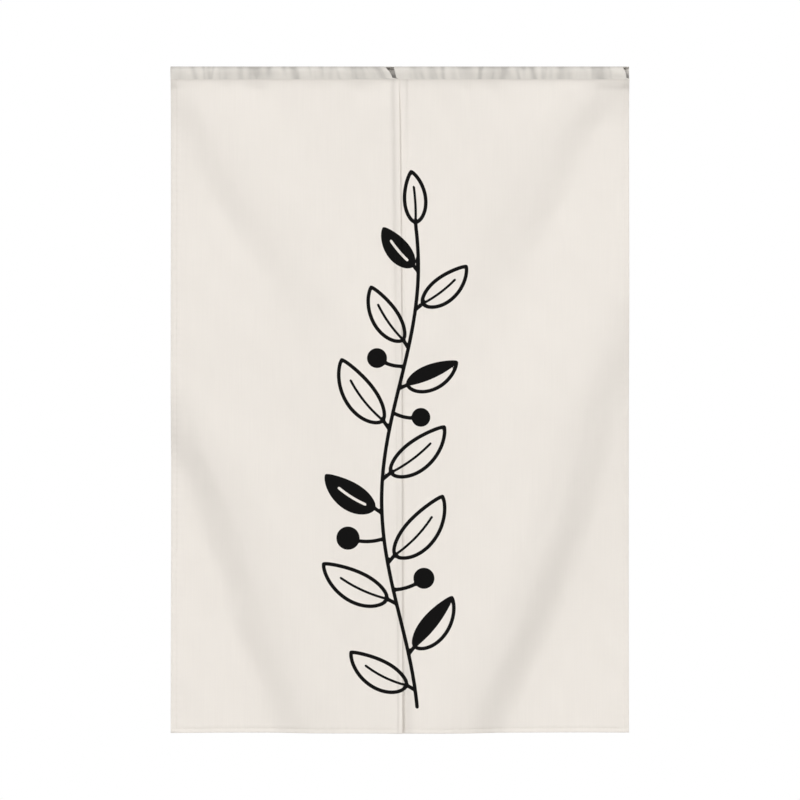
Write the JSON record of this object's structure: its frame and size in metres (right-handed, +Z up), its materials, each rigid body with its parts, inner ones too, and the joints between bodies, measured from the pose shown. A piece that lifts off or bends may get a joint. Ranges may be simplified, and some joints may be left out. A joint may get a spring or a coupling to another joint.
{
  "type": "noren curtain",
  "caption": "Split doorway curtain of hemmed cloth panels, gathered on open rod pockets along the top, with a leafy branch printed down the middle.",
  "frame": {"origin": "The middle of the heading's top edge, in the middle of the rod pockets' depth.", "axes": "+Z up, +X to the right along the heading as seen from the front; the printed front of the cloth faces -Y."},
  "size_m": [0.8262, 0.0282, 1.2007],
  "materials": {
    "panel_cloth": "matte linen-look plain weave, warm off-white, with a black print",
    "pocket_cloth": "matte linen-look plain weave, warm off-white, gathered"
  },
  "bodies": {
    "root": {"left_panel": "panel_cloth", "right_panel": "panel_cloth", "left_pocket": "pocket_cloth", "right_pocket": "pocket_cloth"}
  },
  "joints": []
}
